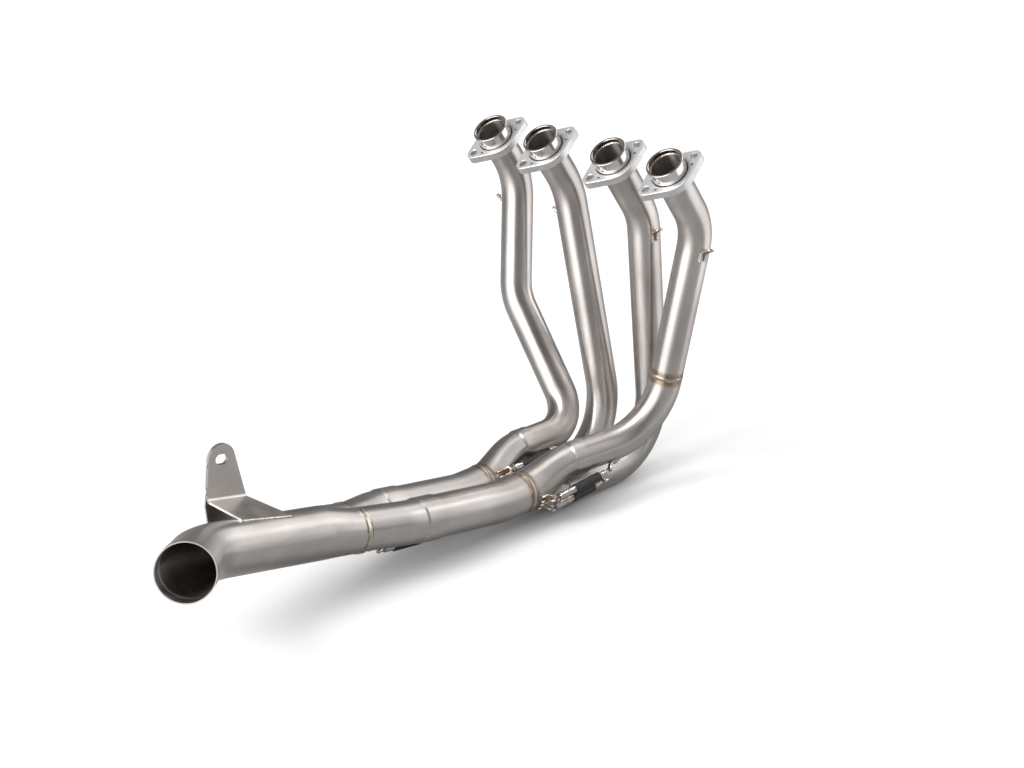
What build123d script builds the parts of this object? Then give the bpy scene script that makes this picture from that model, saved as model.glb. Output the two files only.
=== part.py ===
from build123d import *
import math
import os

# Exhaust header for an in-line four. Four primary tubes merge in two pairs, the two secondary
# pipes merge again, and one outlet pipe leaves to the side under the frame.
# Drawing frame: X along the row of inlet flanges, +Y towards the front wheel, +Z up, origin
# midway between the faces of the four flanges. The finished header is moved so that the
# middle of the lowest level of its box is the origin.

# Tubes
PRIMARY_R = 19.05
SECONDARY_R = 23.5
OUTLET_R = 28.1
WALL = 1.2

# Inlet row
INNER_PITCH = 103.0
OUTER_PITCH = 81.0
FACE_TILT = 37.5
STUD_LINE_TURN = 62.3

# Inlet flange
FLANGE_T = 9.0
HUB_R = 27.5
EAR_R = 9.0
STUD_PITCH = 63.0
EAR_REACH = 40.2
EAR_TRIM = 0.3
STUD_HOLE_R = 4.2
STUD_CHAMFER = 0.8
FACE_ROUND = 1.0
PIN_HOLE_R = 1.6
PIN_HOLE_DEPTH = 5.5
PIN_HOLE_ALONG = 24.0
PIN_HOLE_ACROSS = -10.0

# Inlet sleeve: it stands in the counterbore of its flange
SLEEVE_R = 20.6
SLEEVE_BORE_R = 18.4
SLEEVE_TOP = 16.0
LIP_OVER = 0.6
LIP_H = 2.8
LIP_CHAMFER = 0.5
SLEEVE_GAP = 1.0
SEAT_DEPTH = 6.2
SEAT_GAP = 0.3
TUBE_FIT = 0.05
TUBE_BELOW_TOP = 6.2
TUBE_BORE_GAP = 1.25
NECK_END = 10.0
TAPER_END = 26.0

# Courses of the primary tubes: distance from the flange face to the first bend point, the
# other bend points with the end of the tube, and the bend radii
FIRST_RUN = (62.0, 65.0, 89.0, 87.0)
COURSES = (
    ((-109.0, 10.0, -191.0), (-3.5, 4.0, -330.0), (-8.6, -88.9, -333.6)),
    ((1.0, 68.0, -376.4), (3.4, -88.9, -376.4)),
    ((39.0, 102.0, -378.9), (45.3, -74.4, -376.4)),
    ((90.0, 40.0, -320.5), (60.9, -74.4, -332.9)),
)
BEND_RADII = ((70.0, 70.0, 48.0), (76.0, 83.0), (72.0, 69.0), (71.0, 80.0))
BUTT_WELD_AT = 183.0

# Slip joints
JOINT_FIT = 0.1
JOINT_WALL = 1.2
PRIMARY_COLLAR = 15.5
SECONDARY_COLLAR = 24.0
SHOULDER = 2.5
END_GAP = 0.5

# First merges, near side and far side: middles of the rings where the stubs meet a pipe
NEAR_RING = (49.0, -140.5, -356.6)
FAR_RING = (-1.0, -154.0, -358.2)
STUB_PULL = 55.0
STUB_SECTIONS = 5

# Secondary pipes: bend point, end, and bend radius
NEAR_RUN = ((49.0, -178.0, -357.3), (49.0, -302.6, -339.3))
FAR_RUN = ((-1.0, -193.0, -359.0), (-1.0, -310.2, -342.2))
SECONDARY_BEND = 90.0

# Second merge
INLET_BEND = 55.0
NEAR_INLET_BEND_AT = 13.5
NEAR_INLET_END = (35.0, -373.4, -331.4)
FAR_INLET_BEND_AT = 11.0
FAR_INLET_END = (13.8, -373.1, -333.6)
THROAT = (24.4, -372.0, -332.6)
THROAT_HALF_PITCH = 10.6
RUN_ON = 12.0
CONE_L = 44.0

# Outlet pipe
OUTLET_BEND_AT = (28.6, -562.3, -295.8)
OUTLET_END = (87.8, -619.3, -275.9)
OUTLET_BEND = 76.0
SOCKET_R = 29.3
SOCKET_L = 16.0
SOCKET_SHOULDER = 3.0

# Weld beads
BEAD_W = 5.0
BEAD_H = 0.9
BUTT_BEAD_H = 0.5
BEAD_SHOULDER = 0.7

# Bracket sheets, measured from the outlet pipe's axis: across to the far side, up, and
# along the pipe towards the front
BRACKET_AT = 136.0
SHEET_T = 2.0
TAB_OUT = 40.0
BEND_UP = 36.0
BEND_INSIDE_R = 3.0
TAB_HALF = 24.5
FOOT_IN_REAR = 4.0
FOOT_IN_FRONT = 9.0
FOOT_REAR = -14.0
FOOT_FRONT = 44.0
HEAD_R = 16.0
HEAD_UP = 42.5
HEAD_ALONG = -11.8
SLOT_L = 15.0
SLOT_W = 10.5
LEG_FRONT = 20.0
LEG_BEND_UP = 31.0
LEG_END_UP = 2.0
FOOT_BEAD_R = 1.7
EDGE_BEAD_R = 1.4
EDGE_BEAD_L = 7.0
EDGE_BEADS_UP = (10.0, 38.0)

# Wire hooks for the springs
HOOK_WIRE_R = 1.6
HOOK_HALF_W = 3.4
HOOK_LEG = 11.0
HOOK_LIFT = 1.4
HOOK_BEND_R = 3.0
HOOK_PAD_W = 2.4
HOOK_PAD_SHARE = 0.8
CROWN_TRIM = 0.2

# Hooks high on the primary tubes: name, host run, distance along it, outward direction
UPPER_RISE = 13.5
UPPER_SHIFT = 8.0
UPPER_HOOKS = (
    ("tube_1_upper", "tube_1", 34.0, (-0.99, 0.03, 0.0)),
    ("tube_2_upper", "tube_2", 35.0, (-0.98, 0.12, -0.13)),
    ("tube_3_upper", "tube_3", 16.0, (0.97, -0.24, -0.08)),
    ("tube_4_upper", "tube_4", 24.0, (0.96, -0.27, -0.14)),
)

# Hooks at the slip joints: the same, then lean (1 downstream), stand-off and shift
JOINT_RISE = 9.0
JOINT_SHIFT = 4.0
RING_HOOKS_AHEAD = 16.0
JOINT_HOOKS = (
    ("tube_1_joint", "end_1", 50.0, (0.85, 0.0, -0.5), -1),
    ("tube_2_joint", "end_2", 98.0, (-0.95, 0.0, -0.3), -1),
    ("tube_3_joint", "end_3", 126.0, (0.98, 0.0, 0.2), 1),
    ("tube_4_joint", "end_4", 74.0, (0.7, 0.0, -0.71), 1),
    ("merge_1", "ring_far", 0.0, (0.79, 0.0, 0.61), -1),
    ("merge_2", "ring_far", 0.0, (-0.95, 0.0, -0.3), -1),
    ("merge_3", "ring_near", 0.0, (0.81, 0.0, -0.59), -1),
    ("merge_4", "ring_near", 0.0, (0.98, 0.0, -0.18), -1),
    ("pipe_near", "pipe_near", 78.0, (-0.45, 0.0, -0.89), -1),
    ("pipe_far", "pipe_far", 72.0, (0.4, 0.0, -0.92), -1),
    ("collector_near", "inlet_near", 22.0, (-0.28, 0.0, -0.96), 1),
    ("collector_far", "inlet_far", 20.0, (0.4, 0.0, -0.92), 1),
)

# Springs: name, the hooks they join, and where the rubber sleeve's middle lies between them
SPRINGS = (
    ("tube_1", "tube_1_joint", "merge_1", 0.6),
    ("tube_2", "tube_2_joint", "merge_2", 0.45),
    ("tube_3", "tube_3_joint", "merge_3", 0.42),
    ("tube_4", "tube_4_joint", "merge_4", 0.43),
    ("pipe_near", "pipe_near", "collector_near", 0.56),
    ("pipe_far", "pipe_far", "collector_far", 0.56),
)

# Springs and their rubber sleeves
SPRING_R = 4.15
SPRING_WIRE_R = 0.75
LOOP_R = 3.5
LOOP_SHIFT = 1.0
LOOP_NECK = 2.6
NECK_IN_COIL = 1.0
RUBBER_WALL = 1.0
RUBBER_GAP = 0.15
RUBBER_L = 37.0

TINY = 0.01
HALF_SPACE = 600.0
CORE_OVER = 60.0


def vec(p):
    return Vector(*p)


def turned(outline, plane):
    """Ring turned about the plane's normal, from (radius, height) corners."""
    corners = [(r, 0, h) for r, h in outline]
    face = make_face(Polyline(*corners, close=True))
    return plane.location * revolve(face, Axis.Z)


def bar(radius, start, end):
    """Round bar between two points."""
    course = vec(end) - vec(start)
    plane = Plane(origin=vec(start), z_dir=course)
    return extrude(plane * Circle(radius), course.length)


def swept(section, points, radii):
    """Section swept along straight runs joined by bends."""
    if len(points) == 2:
        path = Line(*points)
    else:
        path = FilletPolyline(*points, radius=list(radii))
    start = Plane(origin=path @ 0, z_dir=path % 0)
    return sweep(start * section, path=path)


def pipe(radius, points, radii):
    return swept(Circle(radius) - Circle(radius - WALL), points, radii)


def filled(radius, points, radii):
    return swept(Circle(radius), points, radii)


def half(shape, origin, side):
    """The part of a shape on the given side of a plane."""
    space = Pos(0, 0, HALF_SPACE / 2) * Box(HALF_SPACE, HALF_SPACE, HALF_SPACE)
    return shape & (Plane(origin=vec(origin), z_dir=side).location * space)


def joint_collar(radius, length, plane):
    """Expanded collar and shoulder; the plane lies at the tube's end, looking downstream."""
    inner = radius + JOINT_FIT
    outer = inner + JOINT_WALL
    return turned(
        [
            (inner, -length),
            (outer, -length),
            (outer, END_GAP),
            (radius, END_GAP + SHOULDER),
            (radius - WALL, END_GAP + SHOULDER),
            (inner, END_GAP),
        ],
        plane,
    )


def bead(radius, plane, height):
    """Low ring of weld on a round pipe."""
    return turned(
        [
            (radius, -BEAD_W / 2),
            (radius + BEAD_SHOULDER * height, -BEAD_W / 4),
            (radius + height, 0),
            (radius + BEAD_SHOULDER * height, BEAD_W / 4),
            (radius, BEAD_W / 2),
        ],
        plane,
    )


# Directions of the inlet row
tilt = math.radians(FACE_TILT)
FACE_OUT = Vector(0, -math.sin(tilt), math.cos(tilt))
FACE_UP = Vector(0, math.cos(tilt), math.sin(tilt))
turn = math.radians(STUD_LINE_TURN)
STUD_LINE = Vector(1, 0, 0) * math.cos(turn) + FACE_UP * math.sin(turn)
INLET_X = (
    -INNER_PITCH / 2 - OUTER_PITCH,
    -INNER_PITCH / 2,
    INNER_PITCH / 2,
    INNER_PITCH / 2 + OUTER_PITCH,
)
INLET_PLANES = [Plane(origin=(x, 0, 0), x_dir=STUD_LINE, z_dir=FACE_OUT) for x in INLET_X]

neck_r = SLEEVE_BORE_R - TUBE_FIT
seat_r = SLEEVE_R + SLEEVE_GAP


def flange_outline():
    """Hub and two ears joined by straight flanks, the ear ends cut flat.

    The ears are round about the stud holes, and go further out with their reach.
    """
    ear_x = max(STUD_PITCH / 2, EAR_REACH + EAR_TRIM - EAR_R)
    lean = math.acos((HUB_R - EAR_R) / ear_x)
    hub_x, hub_y = HUB_R * math.cos(lean), HUB_R * math.sin(lean)
    end_x, end_y = ear_x + EAR_R * math.cos(lean), EAR_R * math.sin(lean)
    edges = []
    for sx in (1, -1):
        edges.append(
            ThreePointArc((sx * end_x, -end_y), (sx * (ear_x + EAR_R), 0), (sx * end_x, end_y))
        )
        for sy in (1, -1):
            edges.append(Line((sx * end_x, sy * end_y), (sx * hub_x, sy * hub_y)))
    for sy in (1, -1):
        edges.append(ThreePointArc((hub_x, sy * hub_y), (0, sy * HUB_R), (-hub_x, sy * hub_y)))
    return make_face(edges) & Rectangle(2 * EAR_REACH, 2 * HUB_R + 2 * EAR_R)


def flange(plane):
    """Two-eared plate with a stepped bore, two stud holes and two small blind holes."""
    body = extrude(flange_outline(), -FLANGE_T)
    rim = body.faces().sort_by(Axis.Z)[-1].outer_wire().edges()
    body = fillet(rim, FACE_ROUND)
    bore_r = neck_r + TUBE_BORE_GAP
    body -= Pos(0, 0, -FLANGE_T / 2) * Cylinder(bore_r, 2 * FLANGE_T)
    body -= Pos(0, 0, -SEAT_DEPTH / 2) * Cylinder(seat_r, SEAT_DEPTH)
    for side in (-1, 1):
        at = Pos(side * STUD_PITCH / 2, 0, 0)
        body -= at * Cylinder(STUD_HOLE_R, 4 * FLANGE_T)
        cone = Cone(STUD_HOLE_R, STUD_HOLE_R + STUD_CHAMFER, STUD_CHAMFER)
        body -= at * Pos(0, 0, -STUD_CHAMFER / 2) * cone
        pin = Pos(side * PIN_HOLE_ALONG, PIN_HOLE_ACROSS, -PIN_HOLE_DEPTH / 2)
        body -= pin * Cylinder(PIN_HOLE_R, PIN_HOLE_DEPTH)
    return plane.location * body


def sleeve(plane):
    """Turned inlet sleeve with a lip round its mouth."""
    lip_r = SLEEVE_R + LIP_OVER
    foot = -SEAT_DEPTH + SEAT_GAP
    return turned(
        [
            (SLEEVE_BORE_R, foot),
            (SLEEVE_R, foot),
            (SLEEVE_R, SLEEVE_TOP - LIP_H),
            (lip_r, SLEEVE_TOP - LIP_H),
            (lip_r, SLEEVE_TOP - LIP_CHAMFER),
            (lip_r - LIP_CHAMFER, SLEEVE_TOP),
            (SLEEVE_BORE_R + LIP_CHAMFER, SLEEVE_TOP),
            (SLEEVE_BORE_R, SLEEVE_TOP - LIP_CHAMFER),
        ],
        plane,
    )


def tube_neck(plane):
    """Narrowed end of a primary tube, inside its sleeve and flange."""
    top = SLEEVE_TOP - TUBE_BELOW_TOP
    return turned(
        [
            (neck_r - WALL, top),
            (neck_r, top),
            (neck_r, -NECK_END),
            (PRIMARY_R, -TAPER_END),
            (PRIMARY_R - WALL, -TAPER_END),
            (neck_r - WALL, -NECK_END),
        ],
        plane,
    )


def primary_course(index):
    start = INLET_PLANES[index].origin
    first = start - FACE_OUT * FIRST_RUN[index]
    return [start - FACE_OUT * TAPER_END, first] + [vec(p) for p in COURSES[index]]


def hermite(start, start_dir, end, end_dir, t):
    """Point and direction on a smooth course between two ends."""
    a = start_dir * STUB_PULL
    b = end_dir * STUB_PULL
    point = (
        start * (2 * t**3 - 3 * t**2 + 1)
        + a * (t**3 - 2 * t**2 + t)
        + end * (3 * t**2 - 2 * t**3)
        + b * (t**3 - t**2)
    )
    direction = (
        start * (6 * t**2 - 6 * t)
        + a * (3 * t**2 - 4 * t + 1)
        + end * (6 * t - 6 * t**2)
        + b * (3 * t**2 - 2 * t)
    )
    return point, direction.normalized()


def stub_solids(joint, ring, ring_dir):
    """Outer and inner solid of a merge stub that swells from a tube's size to the ring's."""
    start = joint.origin + joint.z_dir * (END_GAP + SHOULDER)
    solids = []
    for inset in (0, WALL):
        sections = []
        for step in range(STUB_SECTIONS):
            t = step / (STUB_SECTIONS - 1)
            point, direction = hermite(start, joint.z_dir, ring, ring_dir, t)
            swell = 3 * t**2 - 2 * t**3
            radius = PRIMARY_R + (SECONDARY_R - PRIMARY_R) * swell - inset
            sections.append(Plane(origin=point, z_dir=direction) * Circle(radius))
        solids.append(loft(sections))
    return solids


def tube_end_plane(course):
    return Plane(origin=course[-1], z_dir=course[-1] - course[-2])


def side_of(vector, axis):
    """Unit vector square to an axis, nearest to the given vector."""
    axis = axis.normalized()
    return (vector - axis * vector.dot(axis)).normalized()


def hook(surface, lean, outward, rise, shift, host):
    """Hairpin of wire: two legs welded on a tube, the closed end bent away from it.

    The legs run in the lean direction and end under the bend; the closed end stands off
    by rise and lies shift beyond the bend.
    """
    plane = Plane(origin=surface, x_dir=lean, z_dir=outward)
    corners = []
    for side in (-1, 1):
        y = side * HOOK_HALF_W
        leg = [(-HOOK_LEG, y, HOOK_LIFT), (0, y, HOOK_LIFT), (shift, y, rise)]
        corners += leg if side < 0 else leg[::-1]
    points = [plane.from_local_coords(Vector(*c)) for c in corners]
    crown = HOOK_HALF_W - CROWN_TRIM
    wire = swept(Circle(HOOK_WIRE_R), points, (HOOK_BEND_R, crown, crown, HOOK_BEND_R))
    pad = Box(HOOK_PAD_SHARE * HOOK_LEG, HOOK_PAD_W, 2 * HOOK_LIFT)
    pads = [Pos(-HOOK_LEG / 2, side * HOOK_HALF_W, 0) * pad for side in (-1, 1)]
    body = wire + [plane.location * pad for pad in pads]
    return body - host


def hook_eye(surface, lean, outward, rise, shift):
    return surface + lean * shift + outward * rise


def spring(start, start_across, end, end_across):
    """Closed coil with a loop at both ends; each loop goes round a hook's closed end."""
    axis = (end - start).normalized()
    body = None
    for eye, along, across in ((start, axis, start_across), (end, -axis, end_across)):
        middle = eye + along * LOOP_SHIFT
        loop_plane = Plane(origin=middle, z_dir=side_of(across, axis))
        loop = loop_plane.location * Torus(LOOP_R, SPRING_WIRE_R)
        body = loop if body is None else body + loop
    inset = LOOP_SHIFT + LOOP_R + LOOP_NECK - SPRING_WIRE_R
    for eye, along in ((start, axis), (end, -axis)):
        reach = LOOP_SHIFT + LOOP_R
        body += bar(SPRING_WIRE_R, eye + along * reach, eye + along * (inset + NECK_IN_COIL))
    coil = bar(SPRING_R, start + axis * inset, end - axis * inset)
    return body + coil


def rubber(start, end, share):
    """Rubber sleeve over a spring, at a share of the way along it."""
    axis = (end - start).normalized()
    middle = start + (end - start) * share
    inner = SPRING_R + RUBBER_GAP
    ring = Circle(inner + RUBBER_WALL) - Circle(inner)
    plane = Plane(origin=middle - axis * (RUBBER_L / 2), z_dir=axis)
    return extrude(plane * ring, RUBBER_L)


nodes = {}

# Inlets and primary tubes
courses = [primary_course(i) for i in range(4)]
for i, plane in enumerate(INLET_PLANES):
    nodes[f"flange_{i + 1}"] = flange(plane)
    nodes[f"inlet_sleeve_{i + 1}"] = sleeve(plane)
for i in range(3):
    tube = pipe(PRIMARY_R, courses[i], BEND_RADII[i]) + tube_neck(INLET_PLANES[i])
    nodes[f"primary_tube_{i + 1}"] = tube

weld_dir = (courses[3][2] - courses[3][1]).normalized()
weld_point = courses[3][1] + weld_dir * BUTT_WELD_AT
upper_course = courses[3][:2] + [weld_point]
lower_course = [weld_point] + courses[3][2:]
upper = pipe(PRIMARY_R, upper_course, BEND_RADII[3][:1]) + tube_neck(INLET_PLANES[3])
nodes["primary_tube_4_upper"] = upper
nodes["primary_tube_4_lower"] = pipe(PRIMARY_R, lower_course, BEND_RADII[3][1:])
weld_plane = Plane(origin=weld_point, z_dir=weld_dir)
nodes["butt_weld_tube_4"] = bead(PRIMARY_R, weld_plane, BUTT_BEAD_H)

# First merges
stub_fills = {}
ring_dirs = {}
for side, ring, run, high, low in (
    ("near", NEAR_RING, NEAR_RUN, 3, 2),
    ("far", FAR_RING, FAR_RUN, 0, 1),
):
    ring = vec(ring)
    ring_dir = (vec(run[0]) - ring).normalized()
    ring_dirs[side] = ring_dir
    high_end = tube_end_plane(courses[high])
    low_end = tube_end_plane(courses[low])
    between = (high_end.origin + low_end.origin) / 2
    upwards = side_of(high_end.origin - low_end.origin, ring - between)
    for end, index, keep in ((high_end, high, upwards), (low_end, low, -upwards)):
        outer, inner = stub_solids(end, ring, ring_dir)
        shell = half(outer - inner, ring, keep)
        collar = joint_collar(PRIMARY_R, PRIMARY_COLLAR, end)
        nodes[f"merge_stub_{index + 1}"] = collar + shell
        stub_fills[index] = outer

# Secondary pipes, with the weld ring in front of each
secondary = {}
for side, ring, run in (("near", NEAR_RING, NEAR_RUN), ("far", FAR_RING, FAR_RUN)):
    course = [vec(ring)] + [vec(p) for p in run]
    secondary[side] = course
    nodes[f"secondary_pipe_{side}"] = pipe(SECONDARY_R, course, (SECONDARY_BEND,))
    ring_plane = Plane(origin=vec(ring) + ring_dirs[side] * (BEAD_W / 2), z_dir=ring_dirs[side])
    nodes[f"merge_weld_{side}"] = bead(SECONDARY_R, ring_plane, BEAD_H)

# Second merge
throat = vec(THROAT)
outlet_dir = (vec(OUTLET_BEND_AT) - throat).normalized()
level = side_of(Vector(1, 0, 0), outlet_dir)
throat_plane = Plane(origin=throat, x_dir=level, z_dir=outlet_dir)
inlet_runs = {}
for side, bend_after, last, keep in (
    ("near", NEAR_INLET_BEND_AT, NEAR_INLET_END, level),
    ("far", FAR_INLET_BEND_AT, FAR_INLET_END, -level),
):
    end = tube_end_plane(secondary[side])
    start = end.origin + end.z_dir * (END_GAP + SHOULDER)
    bend = end.origin + end.z_dir * bend_after
    inlet_runs[side] = (bend, vec(last))
    beyond = vec(last) + (vec(last) - bend).normalized() * RUN_ON
    shell = pipe(SECONDARY_R, [start, bend, beyond], (INLET_BEND,))
    shell = half(half(shell, throat, keep), throat, -outlet_dir)
    collar = joint_collar(SECONDARY_R, SECONDARY_COLLAR, end)
    nodes[f"collector_inlet_{side}"] = collar + shell


def throat_outline(radius, pitch):
    """Two arcs, the outline of two round pipes side by side."""
    notch = math.sqrt(radius**2 - pitch**2)
    right = ThreePointArc((0, notch), (pitch + radius, 0), (0, -notch))
    left = ThreePointArc((0, -notch), (-pitch - radius, 0), (0, notch))
    return make_face([right, left])


def collector_solid(inset):
    small = throat_plane * throat_outline(SECONDARY_R - inset, THROAT_HALF_PITCH)
    round_end = throat_plane.offset(CONE_L) * throat_outline(OUTLET_R - inset, 0)
    return loft([small, round_end], ruled=True)


cone_fill = collector_solid(0)
nodes["collector_cone"] = cone_fill - collector_solid(WALL)
bead_face = throat_plane * throat_outline(SECONDARY_R + BEAD_H, THROAT_HALF_PITCH)
nodes["collector_weld"] = extrude(bead_face, BEAD_W) - cone_fill

# Outlet pipe
cone_end = throat + outlet_dir * CONE_L
bend_at = vec(OUTLET_BEND_AT)
outlet_end = vec(OUTLET_END)
leave = (outlet_end - bend_at).normalized()
socket_start = outlet_end - leave * (SOCKET_L + SOCKET_SHOULDER)
outlet_course = [cone_end, bend_at, socket_start]
socket = turned(
    [
        (OUTLET_R - WALL, 0),
        (OUTLET_R, 0),
        (SOCKET_R, SOCKET_SHOULDER),
        (SOCKET_R, SOCKET_SHOULDER + SOCKET_L),
        (SOCKET_R - WALL, SOCKET_SHOULDER + SOCKET_L),
        (SOCKET_R - WALL, SOCKET_SHOULDER),
    ],
    Plane(origin=socket_start, z_dir=leave),
)
nodes["outlet_pipe"] = pipe(OUTLET_R, outlet_course, (OUTLET_BEND,)) + socket
outlet_fill = filled(OUTLET_R, outlet_course, (OUTLET_BEND,))

# Bracket: local x across to the far side, y up, z along the pipe towards the front
bracket_plane = Plane(
    origin=throat + outlet_dir * BRACKET_AT, x_dir=-level, z_dir=-outlet_dir
)
place = bracket_plane.location
foot_up = math.sqrt(OUTLET_R**2 - FOOT_IN_FRONT**2)
rear_up = math.sqrt(OUTLET_R**2 - FOOT_IN_REAR**2)
leg_in = math.sqrt(OUTLET_R**2 - LEG_END_UP**2)
tab_top = BEND_UP + HEAD_UP + 2 * HEAD_R
tab_side = Plane(origin=(TAB_OUT, 0, 0), x_dir=(0, 0, 1), z_dir=(-1, 0, 0))
plan = Plane(origin=(0, 0, 0), x_dir=(1, 0, 0), z_dir=(0, -1, 0))


def sheet(points, side):
    """Sheet along a bent line, its thickness on the given side, both bends rounded."""
    start, corner, end = (Vector(*p) for p in points)
    first = (corner - start).normalized()
    second = (end - corner).normalized()
    first_off = Vector(-first.Y, first.X) * (side * SHEET_T)
    second_off = Vector(-second.Y, second.X) * (side * SHEET_T)
    turned_by = math.atan2(first.cross(second).Z, first.dot(second))
    trim = SHEET_T * math.tan(turned_by / 2) * side
    offset_corner = corner + first_off - first * trim
    outline = [start, corner, end, end + second_off, offset_corner, start + first_off]
    face = make_face(Polyline(*outline, close=True))
    radii = [BEND_INSIDE_R, BEND_INSIDE_R + SHEET_T]
    if turned_by * side > 0:
        radii.reverse()
    for point, radius in zip((corner, offset_corner), radii):
        nearest = min(face.vertices(), key=lambda vertex: (vertex.center() - point).length)
        face = fillet(nearest, radius)
    return extrude(face, 4 * TAB_HALF, both=True)


head = Pos(HEAD_ALONG, BEND_UP + HEAD_UP) * Circle(HEAD_R)
base = Pos(0, BEND_UP) * Rectangle(2 * TAB_HALF, TINY)
tab_face = make_hull((head + base).edges())
tab_face += Pos(0, BEND_UP - HEAD_R / 2) * Rectangle(2 * TAB_HALF, HEAD_R)
tab_face -= Pos(HEAD_ALONG, BEND_UP + HEAD_UP) * SlotOverall(SLOT_L, SLOT_W)
bend_depth = SHEET_T + BEND_INSIDE_R
foot_face = make_face(
    Polyline(
        (-FOOT_IN_REAR, FOOT_REAR),
        (-FOOT_IN_FRONT, FOOT_FRONT),
        (TAB_OUT - bend_depth, TAB_HALF),
        (TAB_OUT - bend_depth, -TAB_HALF),
        close=True,
    )
)
front_plan = extrude(tab_side * tab_face, bend_depth)
front_plan += extrude(plan * foot_face, 2 * tab_top, both=True)
front_line = ((-FOOT_IN_FRONT, foot_up), (TAB_OUT, BEND_UP), (TAB_OUT, tab_top))
front = place * (sheet(front_line, 1) & front_plan) - outlet_fill
nodes["bracket_front_sheet"] = front

leg_dir = Vector(leg_in - TAB_OUT, LEG_END_UP - LEG_BEND_UP).normalized()
leg_tip = Vector(leg_in, LEG_END_UP) + leg_dir * SHEET_T
back_line = ((TAB_OUT, tab_top), (TAB_OUT, LEG_BEND_UP), (leg_tip.X, leg_tip.Y))
leg_w = TAB_HALF + LEG_FRONT
leg_face = Pos(LEG_FRONT - leg_w / 2, 0) * Rectangle(leg_w, 2 * LEG_BEND_UP)
back_plan = extrude(tab_side * (tab_face + leg_face), 2 * TAB_OUT, both=True)
back = place * (sheet(back_line, 1) & back_plan) - outlet_fill
nodes["bracket_back_sheet"] = back

bracket_beads = []
rods = [
    (FOOT_BEAD_R, (-FOOT_IN_REAR, rear_up, FOOT_REAR), (-FOOT_IN_FRONT, foot_up, FOOT_FRONT)),
    (FOOT_BEAD_R, (leg_in, LEG_END_UP, -TAB_HALF), (leg_in, LEG_END_UP, LEG_FRONT)),
]
head_left = HEAD_ALONG - HEAD_R
for up in EDGE_BEADS_UP:
    edge = -TAB_HALF + (head_left + TAB_HALF) * up / HEAD_UP
    ends = [(TAB_OUT, BEND_UP + up + d, edge) for d in (-EDGE_BEAD_L / 2, EDGE_BEAD_L / 2)]
    rods.append((EDGE_BEAD_R, *ends))
for radius, start, end in rods:
    rod = place * bar(radius, start, end)
    bracket_beads += (rod - outlet_fill - front - back).solids()
nodes["bracket_welds"] = Compound(children=bracket_beads)

# Spring hooks
host_lines = {}
for i, course in enumerate(courses):
    host_lines[f"tube_{i + 1}"] = (course[1], course[2], PRIMARY_R)
    host_lines[f"end_{i + 1}"] = (course[-2], course[-1], PRIMARY_R)
for side, ring in (("near", NEAR_RING), ("far", FAR_RING)):
    ahead = vec(ring) - ring_dirs[side] * RING_HOOKS_AHEAD
    host_lines[f"ring_{side}"] = (ahead, vec(ring), SECONDARY_R)
    host_lines[f"pipe_{side}"] = (secondary[side][1], secondary[side][2], SECONDARY_R)
    host_lines[f"inlet_{side}"] = (*inlet_runs[side], SECONDARY_R)
far_core = stub_fills[0] + stub_fills[1]
near_core = stub_fills[2] + stub_fills[3]
hook_cores = {"merge_1": far_core, "merge_2": far_core, "merge_3": near_core, "merge_4": near_core}
eyes = {}


def place_hook(name, host, at, outward, lean, rise, shift):
    """Build a hook on a straight run and keep where its closed end is."""
    start, end, radius = host_lines[host]
    along = (end - start).normalized()
    out = side_of(Vector(*outward), along)
    surface = start + along * at + out * radius
    core = bar(radius, start - along * CORE_OVER, end + along * CORE_OVER)
    if name in hook_cores:
        core = hook_cores[name]
    nodes[f"spring_hook_{name}"] = hook(surface, along * lean, out, rise, shift, core)
    eyes[name] = (hook_eye(surface, along * lean, out, rise, shift), along.cross(out))


for name, host, at, outward in UPPER_HOOKS:
    place_hook(name, host, at, outward, -1, UPPER_RISE, UPPER_SHIFT)
for name, host, at, outward, lean in JOINT_HOOKS:
    place_hook(name, host, at, outward, lean, JOINT_RISE, JOINT_SHIFT)
for name, start, end, share in SPRINGS:
    first, first_across = eyes[start]
    last, last_across = eyes[end]
    nodes[f"spring_{name}"] = spring(first, first_across, last, last_across)
    nodes[f"spring_sleeve_{name}"] = rubber(first, last, share)

# Move the header so that the middle of its box's bottom is the origin
box = Compound(children=[Compound(children=node.solids()) for node in nodes.values()]).bounding_box()
shift = Vector(-(box.min.X + box.max.X) / 2, -(box.min.Y + box.max.Y) / 2, -box.min.Z)
os.makedirs("parts", exist_ok=True)
for name, node in nodes.items():
    export_step(Pos(shift) * Compound(children=node.solids()), f"parts/{name}.step")
print("shift", shift, "box", box.size)
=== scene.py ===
"""Looks of a four-tube exhaust header: finishes, wound springs, weld beads, floor, light and camera."""

import logging
import math
from dataclasses import dataclass
from enum import Enum

import bpy
import numpy as np
from mathutils import Matrix, Vector

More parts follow.
